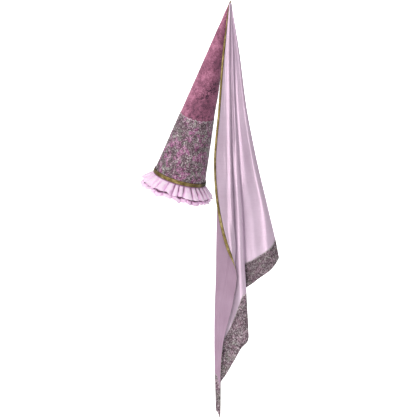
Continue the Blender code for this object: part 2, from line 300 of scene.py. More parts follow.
def wall(name, front, back, uv, materials, closed=False, hollow=None):
    """A closed wall between two grids of points. Its UV is in metres.

    A second material is for the back. The attribute hollow, from 0 to 1, is given as one grid for
    the front and one for the back. It tells the material how far to darken each point: painted
    shade in the frills' valleys, between the gold's threads and on sides turned from the light, and
    a darker stretch on the hem.
    """
    rows, columns = front.shape[:2]
    ends = columns if closed else columns - 1
    i, j = np.meshgrid(np.arange(rows - 1), np.arange(ends), indexing="ij")
    k = (j + 1) % columns
    count = rows * columns
    here, below = i * columns, (i + 1) * columns
    squares = np.stack([here + j, below + j, below + k, here + k], -1).reshape(-1, 4)
    edges = []
    for row in (0, rows - 1):
        a, b = row * columns + j[0], row * columns + k[0]
        rim = np.stack([a, b, b + count, a + count], -1)
        edges.append(rim if row == 0 else rim[:, ::-1])
    if not closed:
        for column in (0, columns - 1):
            a, b = i[:, 0] * columns + column, (i[:, 0] + 1) * columns + column
            rim = np.stack([a, b, b + count, a + count], -1)
            edges.append(rim[:, ::-1] if column == 0 else rim)
    faces = np.concatenate([squares, squares[:, ::-1] + count, *edges])
    p = front.reshape(-1, 3)[squares]
    facing = np.cross(p[:, 1] - p[:, 0], p[:, 2] - p[:, 0])
    if (facing * (front - back).reshape(-1, 3)[squares[:, 0]]).sum() < 0:
        faces = faces[:, ::-1]

    points = np.concatenate([front.reshape(-1, 3), back.reshape(-1, 3)])
    mesh = bpy.data.meshes.new(name)
    mesh.vertices.add(len(points))
    mesh.vertices.foreach_set("co", points.ravel())
    mesh.loops.add(faces.size)
    mesh.loops.foreach_set("vertex_index", faces.ravel().astype(np.int32))
    mesh.polygons.add(len(faces))
    mesh.polygons.foreach_set("loop_start", np.arange(0, faces.size, 4, dtype=np.int32))
    skin = np.zeros(len(faces), dtype=np.int32)
    if len(materials) > 1:
        skin[len(squares):2 * len(squares)] = 1
    mesh.polygons.foreach_set("material_index", skin)
    mesh.update(calc_edges=True)
    layer = mesh.uv_layers.new(name="metres")
    flat = np.stack(np.broadcast_arrays(*uv), -1).reshape(-1, 2)
    layer.data.foreach_set("uv", np.concatenate([flat, flat])[faces.ravel()].ravel())
    if hollow is not None:
        values = [np.broadcast_to(side, front.shape[:2]).ravel() for side in hollow]
        attribute = mesh.attributes.new("hollow", "FLOAT", "POINT")
        attribute.data.foreach_set("value", np.concatenate(values).astype(np.float32))
    mesh.shade_smooth()
    for material in materials:
        mesh.materials.append(material)
    return add(name, mesh)


def add(name, mesh):
    """An object in the scene for a mesh. It rides on the hat's one body."""
    thing = bpy.data.objects.new(name, mesh)
    bpy.context.scene.collection.objects.link(thing)
    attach(thing, "root")
    return thing


def make_velvet():
    """Crushed velvet: soft clouds of pressed pile, dark flecks, and a crumpled patch at the front.

    One side is painted lighter, standing in for the light that falls on it from that side.
    """
    velvet = Shader("crushed rose velvet", Roughness=0.75, Sheen_Weight=0.35, Sheen_Roughness=0.35,
                    Specular_IOR_Level=0.2)
    place = velvet.place()
    clouds = velvet.noise(place, 15.0, detail=2.0, roughness=0.5, distortion=0.8)
    tufts = velvet.noise(place, 58.0, detail=5.0, roughness=0.65, distortion=1.0)
    flecks = velvet.noise(place, 115.0, detail=5.0, roughness=0.7, distortion=1.8)
    grain = velvet.noise(place, 480.0, detail=3.0, roughness=0.7)
    uv = velvet.place("UV")
    turn = velvet.math("DIVIDE", velvet.add("SeparateXYZ", {0: uv}), CROWN_UV_ROUND)
    height = velvet.add("SeparateXYZ", {0: uv}, out=1)
    angle = velvet.math("MULTIPLY", turn, 2 * math.pi)
    # Painted light: the side turned towards the lamp is lighter, by the cosine of the turn from it
    side_light = velvet.math("COSINE", velvet.math("SUBTRACT", angle, LIT_SIDE_ANGLE))

    from_middle = velvet.math("SUBTRACT", turn, CRUMPLE_TURN)
    slope = velvet.math("MULTIPLY", from_middle, CRUMPLE_SLANT)
    line = velvet.math("ADD", slope, CRUMPLE_HEIGHT)
    off = velvet.math("ABSOLUTE", velvet.math("SUBTRACT", height, line))
    beside = velvet.math("ABSOLUTE", from_middle)
    crumple = velvet.math("MULTIPLY", velvet.span(off, *CRUMPLE_REACH, 1.0, 0.0),
                          velvet.span(beside, *CRUMPLE_SPREAD, 1.0, 0.0))
    dark = velvet.span(flecks, 0.38, 0.56, 1.0, 0.0)
    dark = velvet.math("MULTIPLY", dark, velvet.span(crumple, 0.0, 1.0, 0.14, 0.38))

    crush = velvet.plus(velvet.math("MULTIPLY", clouds, 0.50), tufts, 0.50)
    crush = velvet.plus(crush, velvet.math("SUBTRACT", grain, 0.5), 0.40)
    # The painted side light is added to the crush here
    crush = velvet.plus(crush, side_light, PAINTED_SIDE_LIGHT)
    crush = velvet.math("SUBTRACT", crush, dark)
    tint = velvet.ramp(
        crush, ((0.20, "40283a"), (0.34, "70475b"), (0.48, "9b617b"), (0.64, "c584a0")))
    dents = velvet.bump(velvet.math("SUBTRACT", tufts, dark), 0.0024)
    velvet.fill(velvet.surface, {
        "Base Color": tint, "Normal": velvet.bump(grain, 0.0005, dents),
        "Sheen Tint": colour("e3a9bd"), "Roughness": velvet.span(crush, 0.35, 0.65, 0.85, 0.6)})
    return velvet.material


def make_felt():
    """Bare stiffened felt inside the crown: matted fibres."""
    felt = Shader("stiffened felt", Roughness=0.95, Sheen_Weight=0.2)
    place = felt.place()
    fibres = felt.noise(place, 700.0, detail=4.0, distortion=2.0)
    tint = felt.ramp(fibres, ((0.3, "6d5560"), (0.7, "8b707c")))
    felt.fill(felt.surface, {"Base Color": tint, "Normal": felt.bump(fibres, 0.0004)})
    return felt.material


def make_crown():
    """Radius falls evenly with height. The velvet adds dents of under a millimetre, which die away
    at the rim and the tip, and a bulge that falls off like a bell above the brocade."""
    rows, columns = CROWN_GRID
    height = np.linspace(CROWN_HEIGHT, 0.0, rows)[:, None]
    angle = np.linspace(0, 2 * np.pi, columns, endpoint=False)[None, :]
    turn = angle / (2 * np.pi)
    dents = DENT_DEPTH * soft_noise(turn * 14, height * 35, 3, wrap=14)
    dents += FINE_DENT_DEPTH * soft_noise(turn * 40, height * 90, 4, wrap=40)
    dents *= np.clip(height * 40, 0, 1) * np.clip((CROWN_HEIGHT - height) * 30, 0, 1)
    radius = crown_radius(height)
    beside = np.sin((angle - VEIL_SIDE) / 2)
    bulge = BULGE_DEPTH * np.exp(-((height - BULGE_HEIGHT) / BULGE_REACH) ** 2)
    bulge = bulge * np.exp(-(beside / BULGE_SPREAD) ** 2)
    front = leaning(radius + dents + bulge, angle, height)
    inner = np.maximum(RIM_INSIDE - CROWN_TAPER * height, PIN_RADIUS + GAP)
    back = leaning(inner, angle, height)
    crown = wall("velvet_cone", front, back, (turn * CROWN_UV_ROUND, height),
                 (make_velvet(), make_felt()), closed=True)
    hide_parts("velvet_crown")


make_crown()


# Brocade sleeve: silver and plum brocade stitched round the lower third of the crown, woven with
# curling metallic threads and small flowers. Its upper edge is cut in uneven little scallops.

SLEEVE_HEIGHT = 0.226
SLEEVE_FOOT = 0.0085
SLEEVE_WALL = 0.0010
SLEEVE_SCALLOPS = 24
SCALLOP_DEPTH = 0.0040
SLEEVE_GRID = (90, SLEEVE_SCALLOPS * 18)

# How far the top edge lies above SLEEVE_HEIGHT: all round, and as waves of one and two rounds
SLEEVE_RISE = 0.0040
SLEEVE_RISE_ONCE = 0.0037
SLEEVE_RISE_TWICE = 0.0027

# Depth of the edge's jagged cut, of the woven figures, and of the rolled edge
JAG_DEPTH = 0.0016
FINE_JAG_DEPTH = 0.0007
WEAVE_DEPTH = 0.00035
PUCKER_DEPTH = 0.0004
ROLL_DEPTH = 0.0005
ROLL_REACH = 0.0015

SLEEVE_UV_ROUND = 0.5
# How much painted shade darkens the sleeve on its side towards the veil, away from the light
SLEEVE_PAINTED_SHADE = 0.50
THREAD_STOPS = (0.30, 0.50, 0.70)
SLEEVE_COLOURS = dict(
    silver=("a89fa3", "d8d2d4", "fffbfa"), ground=("38262e", "624a56", "866b79"),
    flower=("67335a", "8f507b", "bb88ab"), leaf=("4c4947", "7a7773", "a8a59f"),
    blush="ecc3dd", darkened="33242b")


def make_brocade(name, silver, ground, flower, leaf, blush, darkened, fine=1.0):
    """Brocade: fine bright and dark threads over dark ground, small flowers and grey leaves.

    Silver, ground, flower and leaf are each three colours, at THREAD_STOPS of a cloudy shade.
    Curling silver threads run where a noise crosses a level, and turn to the colour blush over
    flowers. The UV runs down from the stitched upper edge, where silver lies thick. Where the
    attribute hollow is high, the cloth goes over to a dark colour given as an argument: painted
    shade on the sleeve's side towards the veil, and a plain darker stretch on the hem. A higher
    fine makes the figures smaller.
    """
    cloth = Shader(name, Specular_IOR_Level=0.5)
    place = cloth.place(scale=(fine, fine, fine))
    elsewhere = cloth.add("Mapping", {"Vector": place, "Location": (3.1, 1.7, 5.3)})
    patches = cloth.noise(place, 34.0, detail=3.0, roughness=0.65, distortion=0.8)
    leaves = cloth.noise(elsewhere, 28.0, detail=3.0, roughness=0.6, distortion=1.2)
    scrolls = cloth.noise(elsewhere, 84.0, detail=2.0, roughness=0.6, distortion=2.0)
    speckle = cloth.noise(place, 235.0, detail=2.0, roughness=0.65, distortion=0.5)
    shade = cloth.noise(place, 64.0, detail=5.0, roughness=0.75)
    threads = cloth.noise(place, 620.0, detail=2.0, roughness=0.6)
    down = cloth.add("SeparateXYZ", {0: cloth.place("UV")}, out=1)

    def tones(codes):
        """Three colours laid over the shade."""
        return cloth.ramp(shade, tuple(zip(THREAD_STOPS, codes)))

    petals = cloth.span(patches, 0.49, 0.57)
    leafy = cloth.span(leaves, 0.54, 0.61)
    base = cloth.mix(petals, tones(ground), tones(flower))
    base = cloth.mix(cloth.math("MULTIPLY", leafy, 0.85), base, tones(leaf))
    base = cloth.mix(1.0, base, cloth.span(speckle, 0.38, 0.60, 0.36, 1.80), blend="MULTIPLY")

    off = cloth.math("ABSOLUTE", cloth.math("SUBTRACT", scrolls, 0.5))
    curls = cloth.math("MULTIPLY", cloth.span(off, 0.006, 0.022, 0.85, 0.0),
                       cloth.span(threads, 0.35, 0.5, 0.4, 1.0))
    glints = cloth.span(speckle, 0.54, 0.64, 0.0, 0.95)
    cover = cloth.math("MAXIMUM", curls, glints)
    cover = cloth.math("MULTIPLY", cover, cloth.span(shade, 0.38, 0.58, 0.25, 1.0))
    metal = cloth.mix(cloth.math("MULTIPLY", petals, 0.6), tones(silver), colour(blush))
    frayed = cloth.plus(down, cloth.math("SUBTRACT", shade, 0.5), 0.034)
    cover = cloth.math("MAXIMUM", cover, cloth.span(frayed, 0.0005, 0.0045, 0.85, 0.0))
    relief = cloth.bump(cloth.plus(cover, petals, 0.35), 0.0008)
    # Painted shade on the sleeve's unlit side, and a darker stretch on the hem, both read from the
    # attribute hollow
    darkened_share = cloth.add("Attribute", {}, out=2, attribute_name="hollow")
    cloth.fill(cloth.surface, {
        "Base Color": cloth.mix(darkened_share, cloth.mix(cover, base, metal), colour(darkened)),
        "Normal": cloth.bump(threads, 0.0003, relief),
        "Metallic": cloth.math("MULTIPLY", cover, 0.4),
        "Roughness": cloth.span(cover, 0.0, 1.0, 0.8, 0.42)})
    return cloth.material


def make_sleeve():
    """The crown's cone grown by a gap and a wall. The top edge is a row of arches, each a little
    off, on a line that rises at the veil's side. That side is painted darker as shade, by the
    cosine of the turn from it."""
    rows, columns = SLEEVE_GRID
    angle = np.linspace(0, 2 * np.pi, columns, endpoint=False)[None, :]
    turn = angle / (2 * np.pi)
    round_from_veil = angle - VEIL_SIDE
    rise = (SLEEVE_RISE + SLEEVE_RISE_ONCE * np.cos(round_from_veil)
            + SLEEVE_RISE_TWICE * np.cos(2 * round_from_veil))
    arches = SCALLOP_DEPTH * np.abs(np.sin(angle * SLEEVE_SCALLOPS / 2)) ** 0.7
    uneven = JAG_DEPTH * soft_noise(turn * 60, 0.5, 7, wrap=60)
    uneven = uneven + FINE_JAG_DEPTH * soft_noise(turn * 160, 0.5, 8, wrap=160)
    top = SLEEVE_HEIGHT + rise + arches + uneven
    share = np.linspace(0, 1, rows)[:, None]
    height = top * (1 - share) + SLEEVE_FOOT * share
    relief = WEAVE_DEPTH * soft_noise(turn * 90, height * 230, 9, wrap=90)
    relief += PUCKER_DEPTH * soft_noise(turn * 24, height * 60, 10, wrap=24)
    rolled = ROLL_DEPTH * np.exp(-((top - height) / ROLL_REACH) ** 2)
    radius = crown_radius(height) + GAP
    front = leaning(radius + SLEEVE_WALL + relief + rolled, angle, height)
    back = leaning(radius, angle, height)
    brocade = make_brocade("silver and plum brocade", **SLEEVE_COLOURS)
    # Painted shade on the veil's side, which is turned away from the light
    darkened = SLEEVE_PAINTED_SHADE * np.clip(np.cos(round_from_veil), 0, 1) ** 1.5
    sleeve = wall("brocade_cuff", front, back, (turn * SLEEVE_UV_ROUND, top - height), (brocade,),
                  closed=True, hollow=(darkened, darkened))
    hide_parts("brocade_sleeve")
    return sleeve


sleeve = make_sleeve()


# Gold band: a woven metallic ribbon 13 mm wide stitched round the rim over the frills' headings,
# with a corded edge on each side and a herringbone between.

BAND_FOOT = 0.0055
BAND_WIDTH = 0.0130
BAND_WALL = 0.0014
FRILL_WALL = 0.0010
BAND_INSIDE = GAP + 2 * (FRILL_WALL + GAP)
BAND_GRID = (23, 1200)
BAND_PLAITS = 200
# How much painted shade darkens the band on the veil's side
BAND_SIDE_SHADE = 0.9

# How high the plait stands, and how far the faces below it lie back, so that its height adds
# little to the wall
PLAIT_HEIGHT = 0.0005
PLAIT_BED = 0.0002


def make_gold():
    """Old gold thread: lighter on the raised plait and painted darker as shade between threads, and
    worn here and there.

    Where the attribute hollow is high, it is painted dark as shade, and also made dull and no
    longer metallic: between the threads, along the edges of the band and the braid, and on the
    band's side towards the veil.
    """
    gold = Shader("old gold thread", Specular_IOR_Level=0.3)
    place = gold.place()
    wear = gold.noise(place, 45.0, detail=4.0)
    fine = gold.noise(place, 900.0, detail=2.0)
    tint = gold.ramp(wear, ((0.32, "6a5831"), (0.50, "927e4c"), (0.68, "c6b47e")))
    hollow = gold.add("Attribute", {}, out=2, attribute_name="hollow")
    tint = gold.mix(gold.span(hollow, 0.15, 0.85, 0.0, 0.95), tint, colour("211a0c"))
    rough = gold.math("MAXIMUM", gold.span(wear, 0.3, 0.7, 0.32, 0.5),
                      gold.math("MULTIPLY", hollow, 0.85))
    gold.fill(gold.surface, {
        "Base Color": tint, "Metallic": gold.span(hollow, 0.4, 0.95, 0.6, 0.0),
        "Roughness": rough, "Normal": gold.bump(fine, 0.0002)})
    return gold.material


def herringbone(along, across):
    """Height from 0 to 1 of slanting threads that meet in a groove, between two twisted cords.

    Along counts the threads, and across runs from -1 to 1.
    """
    slant = along + 0.9 * np.abs(across)
    threads = np.abs(np.sin(np.pi * slant)) ** 0.6
    groove = 1 - 0.5 * np.exp(-(across / 0.07) ** 2)
    cord = np.exp(-((np.abs(across) - 0.9) / 0.08) ** 2)
    twist = 0.6 + 0.4 * np.abs(np.sin(np.pi * (2 * along + 3 * across)))
    return np.maximum(threads * groove * (np.abs(across) < 0.82), cord * twist)


def make_band(gold):
    """A conical ring whose outside carries the herringbone's height. It is painted darker as shade
    on the veil's side, by the cosine of the turn from there, cubed."""
    rows, columns = BAND_GRID
    angle = np.linspace(0, 2 * np.pi, columns, endpoint=False)[None, :]
    across = np.linspace(-1, 1, rows)[:, None]
    height = BAND_FOOT + BAND_WIDTH * (1 - across) / 2
    round_edge = 0.0004 * np.clip((np.abs(across) - 0.85) / 0.15, 0, 1) ** 2
    plait = herringbone(angle / (2 * np.pi) * BAND_PLAITS, across)
    # Painted shade between the threads and along both edges of the band
    hollow = 1 - plait + np.clip((np.abs(across) - 0.84) / 0.16, 0, 1)
    # Painted shade on the veil's side, by the cosine of the turn from there, cubed
    side_shade = BAND_SIDE_SHADE * np.clip(np.cos(angle - VEIL_SIDE), 0, 1) ** 3
    hollow = np.clip(hollow + side_shade, 0, 1)
    radius = crown_radius(height) + BAND_INSIDE
    face = radius + BAND_WALL - PLAIT_BED - round_edge + PLAIT_HEIGHT * plait
    front = leaning(face, angle, height)
    back = leaning(radius, angle, height)
    band = wall("gold_ribbon", front, back, (angle * RIM_OUTSIDE, height), (gold,), closed=True,
                hollow=(hollow, 0.5))
    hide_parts("gold_band")


gold = make_gold()
make_band(gold)


# Frills: two rings of pale pink cotton under the band, each a strip about 1.6 times as long as the
# rim, set in soft pleats that lean a little to one side, with a narrow rolled hem.

FRILL_HEADING = 0.0070
FRILL_REACH = 0.0310
FRILL_CURVE = (0.45, 0.40)
FRILL_PLEATS = 28
FRILL_ROWS = 40
PLEAT_COLUMNS = 28
FRILL_RIPPLE = 0.0005

# Half the cloth's thickness, and what its rolled hem adds, over this share of the strip
FRILL_HALF = 0.00035
FRILL_HEM_ROLL = 0.0004
FRILL_HEM_REACH = 0.035

# How far the hem runs up and down, as shares of the strip: at random, and with the pleats
FRILL_UNEVEN = 0.11
FRILL_WAVE = 0.06

# How far a pleat leans sideways, as a share of a pleat, and how much more painted shade the veil's
# side gets
FRILL_LEAN = 0.35
FRILL_SHADE_SIDE = 0.7

# A row for each frill: which layer on the crown its heading is, how far it hangs, how deep its
# pleats are, and where the piece above shades it: how far along the strip, and how softly
FRILLS = {
    "upper_frill": dict(piece="frill_upper", layer=1, drop=0.0280, depth=0.0042, seed=21,
                        under=-0.18, soft=0.10),
    "lower_frill": dict(piece="frill_lower", layer=0, drop=0.0460, depth=0.0040, seed=34,
                        under=0.72, soft=0.065),
}


def make_cotton():
    """Crisp cotton: a fine plain weave, slightly see-through. It is painted a darker, greyer pink
    as shade where the attribute hollow is high: in the valleys, more on the veil's side, and under
    what hangs over it."""
    cotton = Shader("pale pink cotton", Roughness=0.75, Sheen_Weight=0.25, Subsurface_Weight=0.12)
    cotton.fill(cotton.surface, {
        "Subsurface Radius": (0.006, 0.004, 0.005), "Subsurface Scale": 0.6})
    uv = cotton.place("UV")
    warp, weft = (cotton.add("TexWave", {"Vector": uv, "Scale": 260.0}, out=1, bands_direction=way)
                  for way in "XY")
    cloudy = cotton.noise(cotton.place(), 90.0, detail=3.0)
    hollow = cotton.add("Attribute", {}, out=2, attribute_name="hollow")
    hollow = cotton.plus(hollow, cotton.math("SUBTRACT", cloudy, 0.5), 0.25)
    # Pale tops, going over to painted shade as hollow grows
    tint = cotton.ramp(
        hollow, ((0.02, "ffe6fd"), (0.20, "f3c4ed"), (0.60, "9f7695"), (1.0, "3f2d3b")))
    cotton.fill(cotton.surface, {
        "Base Color": tint, "Normal": cotton.bump(cotton.math("ADD", warp, weft), 0.00012)})
    return cotton.material


def make_frill(node, cotton):
    """A strip that lies on the crown, then curves out and down as a quadratic curve.

    Each pleat has a broad round top and a narrow valley, 1 - 2 |2p - 1|^3 over its own width. It
    deepens towards the hem, and its top leans sideways. Its hollow, which is painted shade, grows
    beside the top, more on one side of the pleat and on the veil's side of the hat, with streaks,
    and is high along the line where what hangs over it shades it.
    """
    fact = FRILLS[node]
    dice = np.random.default_rng(fact["seed"])
    rows, each = FRILL_ROWS, PLEAT_COLUMNS
    columns = FRILL_PLEATS * each
    widths = dice.uniform(0.55, 1.45, FRILL_PLEATS)
    starts = np.concatenate([[0.0], np.cumsum(widths)]) / widths.sum()
    number = np.arange(columns) // each
    phase = (np.arange(columns) % each) / each
    turn = starts[number] + phase * (starts[number + 1] - starts[number])
    tall = dice.uniform(0.55, 1.25, FRILL_PLEATS)
    lean = dice.uniform(-0.1, 0.55, FRILL_PLEATS)

    def between(values):
        """A value for each pleat, eased into the next one's at the valley between them."""
        at = number + phase - 0.5
        low = np.floor(at).astype(int)
        share = np.clip((at - low - 0.5) * 5 + 0.5, 0, 1)
        return values[low % FRILL_PLEATS] * (1 - share) + values[(low + 1) % FRILL_PLEATS] * share

    top = 1 - 2 * np.abs(2 * phase - 1) ** 3
    shift = GAP + FRILL_WALL / 2 + fact["layer"] * (FRILL_WALL + GAP)
    drop = fact["drop"]
    along = np.concatenate([[-0.25, -0.12], np.linspace(0, 1, rows - 2)])[:, None]
    uneven = 1 + FRILL_UNEVEN * soft_noise(turn * 45, 0.5, fact["seed"] + 1, wrap=45)
    uneven = uneven + FRILL_WAVE * top
    t = np.where(along > 0, along * uneven, 0.0)
    out = 2 * FRILL_CURVE[0] * FRILL_REACH * t * (1 - t) + FRILL_REACH * t ** 2
    down = 2 * FRILL_CURVE[1] * drop * t * (1 - t) + drop * t ** 2
    slope_out = 2 * FRILL_CURVE[0] * FRILL_REACH * (1 - 2 * t) + 2 * FRILL_REACH * t
    slope_down = 2 * FRILL_CURVE[1] * drop * (1 - 2 * t) + 2 * drop * t
    size = np.hypot(slope_out, slope_down)
    depth = fact["depth"] * t ** 0.55 * between(tall)
    ripple = FRILL_RIPPLE * soft_noise(turn * 120, t * 5, fact["seed"] + 2, wrap=120) * t
    lift = depth * top + ripple
    heading = FRILL_HEADING * np.clip(-along / 0.25, 0, 1)
    radius = crown_radius(heading) + shift + out + lift * slope_down / size
    height = heading - down + lift * slope_out / size
    angle = 2 * np.pi * (turn + between(lean) * t * (top + 1) / 2 * FRILL_LEAN / FRILL_PLEATS)
    middle = leaning(radius, angle, height)
    normal = normals(middle, closed=True)
    rolled = np.exp(-((1 - along) / FRILL_HEM_REACH) ** 2)
    thick = FRILL_HALF + FRILL_HEM_ROLL * rolled[:, :, None]
    u, v = lengths(middle)
    # Painted shade on the outside: beside each pleat's top, more on one side and on the veil's
    # side, with streaks, and under what hangs over it
    deep = between(dice.uniform(0.35, 1.15, FRILL_PLEATS))
    clouds = soft_noise(turn * 56, t * 2.5, fact["seed"] + 3, wrap=56)
    fade = np.clip(1.15 - 0.8 * t + 0.5 * clouds, 0, 1)
    streaks = 0.10 * soft_noise(turn * 150, t * 2, fact["seed"] + 4, wrap=150)
    beside = np.abs(2 * phase - 1) ** np.where(phase > 0.5, 1.7, 3.5)
    side = 1 + FRILL_SHADE_SIDE * np.cos(2 * np.pi * turn - VEIL_SIDE)
    under = fact["under"] * (1 + 0.10 * np.clip(side - 1, 0, 1))
    shaded = np.exp(-((along - under) / fact["soft"]) ** 2)
    outside = np.maximum(beside * deep * fade * side + streaks, shaded)
    # Painted shade on the inside, behind the pleats' tops
    inside = np.clip((1 + top) / 2, 0, 1) ** 3 * deep * 0.5 + streaks
    frill = wall(fact["piece"], middle + normal * thick, middle - normal * thick, (u, v), (cotton,),
                 closed=True, hollow=(outside, inside))
    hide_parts(node)
    return frill


cotton = make_cotton()
frills = {node: make_frill(node, cotton) for node in FRILLS}


# Tip bead: a small gilt bead sewn over the gathered head of the veil, on the point of the crown.
# It sits on the tip, and its pin goes down inside.

BEAD_RADIUS = 0.0036
BEAD_SEAT_SHARE = 0.6
PIN_LENGTH = 0.0120
BEAD_RINGS = 26
BEAD_SIDES = 40


def make_bead():
    """A ball that is cut off where it rests, with a thin pin below, both round the crown's axis."""
    gilt = Shader("gilt bead", Metallic=0.8, Roughness=0.35)
    marks = gilt.noise(gilt.place(), 900.0, detail=3.0)
    gilt.fill(gilt.surface, {
        "Base Color": gilt.ramp(marks, ((0.3, "3a2c12"), (0.6, "8f7030"))),
        "Normal": gilt.bump(marks, 0.0002)})
    rest = CROWN_HEIGHT + GAP
    seat = -math.acos(BEAD_SEAT_SHARE)
    centre = rest - BEAD_RADIUS * math.sin(seat)
    turns = np.linspace(math.pi / 2 - 0.01, seat, BEAD_RINGS)
    radius = np.concatenate([BEAD_RADIUS * np.cos(turns), [PIN_RADIUS, PIN_RADIUS, 0.00002]])
    foot = rest - PIN_LENGTH
    height = np.concatenate([centre + BEAD_RADIUS * np.sin(turns), [rest, foot, foot]])
    angle = np.linspace(0, 2 * np.pi, BEAD_SIDES, endpoint=False)
    rings = leaning(radius[:, None], angle[None, :], height[:, None])
    rows, sides = rings.shape[:2]
    i, j = np.meshgrid(np.arange(rows - 1), np.arange(sides), indexing="ij")
    k = (j + 1) % sides
    here, below = i * sides, (i + 1) * sides
    squares = np.stack([here + j, below + j, below + k, here + k], -1)
    ends = [list(range(sides)), list(range(rows * sides - 1, (rows - 1) * sides - 1, -1))]
    mesh = bpy.data.meshes.new("bead_on_tip")
    mesh.from_pydata(rings.reshape(-1, 3), [], squares.reshape(-1, 4).tolist() + ends)
    mesh.shade_smooth()
    mesh.materials.append(gilt.material)
    bead = add("bead_on_tip", mesh)
    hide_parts("tip_bead")


make_bead()


# Veil: one sheet of lilac satin, gathered round the tip under the bead and hanging free. Its left
# edge turns over to the front as a lapel, a narrow roll stands in the middle, and a wide flap hangs
# to the right. The face shines and the reverse is dull. Every fold line below is as in the CAD.

VEIL_WALL = 0.0010
VEIL_DROP = 1.4060
VEIL_SPREAD = 0.2240
VEIL_DEPTH = 0.0320
VEIL_HEAD_DROP = 0.0015
VEIL_LAYER_STEP = 0.0023
SEAM_LAP = 0.0010
VEIL_ROWS = 236
VEIL_COLUMNS = 12

# Depths of the long and the short creases, which reach their full depth at CREASE_GROWN below
# the tip, and of the fuller stretch beside the roll: the column it lies at, and its half width
LONG_CREASE = 0.0011
SHORT_CREASE = 0.0004
CREASE_GROWN = 0.35
FULL_DEPTH = 0.0020
FULL_COLUMN = 7.2
FULL_WIDTH = 0.35

# How far each section lies below the tip, as a share of VEIL_DROP
SECTION_DROPS = (0.113, 0.258, 0.391, 0.512, 0.597, 0.649, 0.717, 0.826, 1.0)

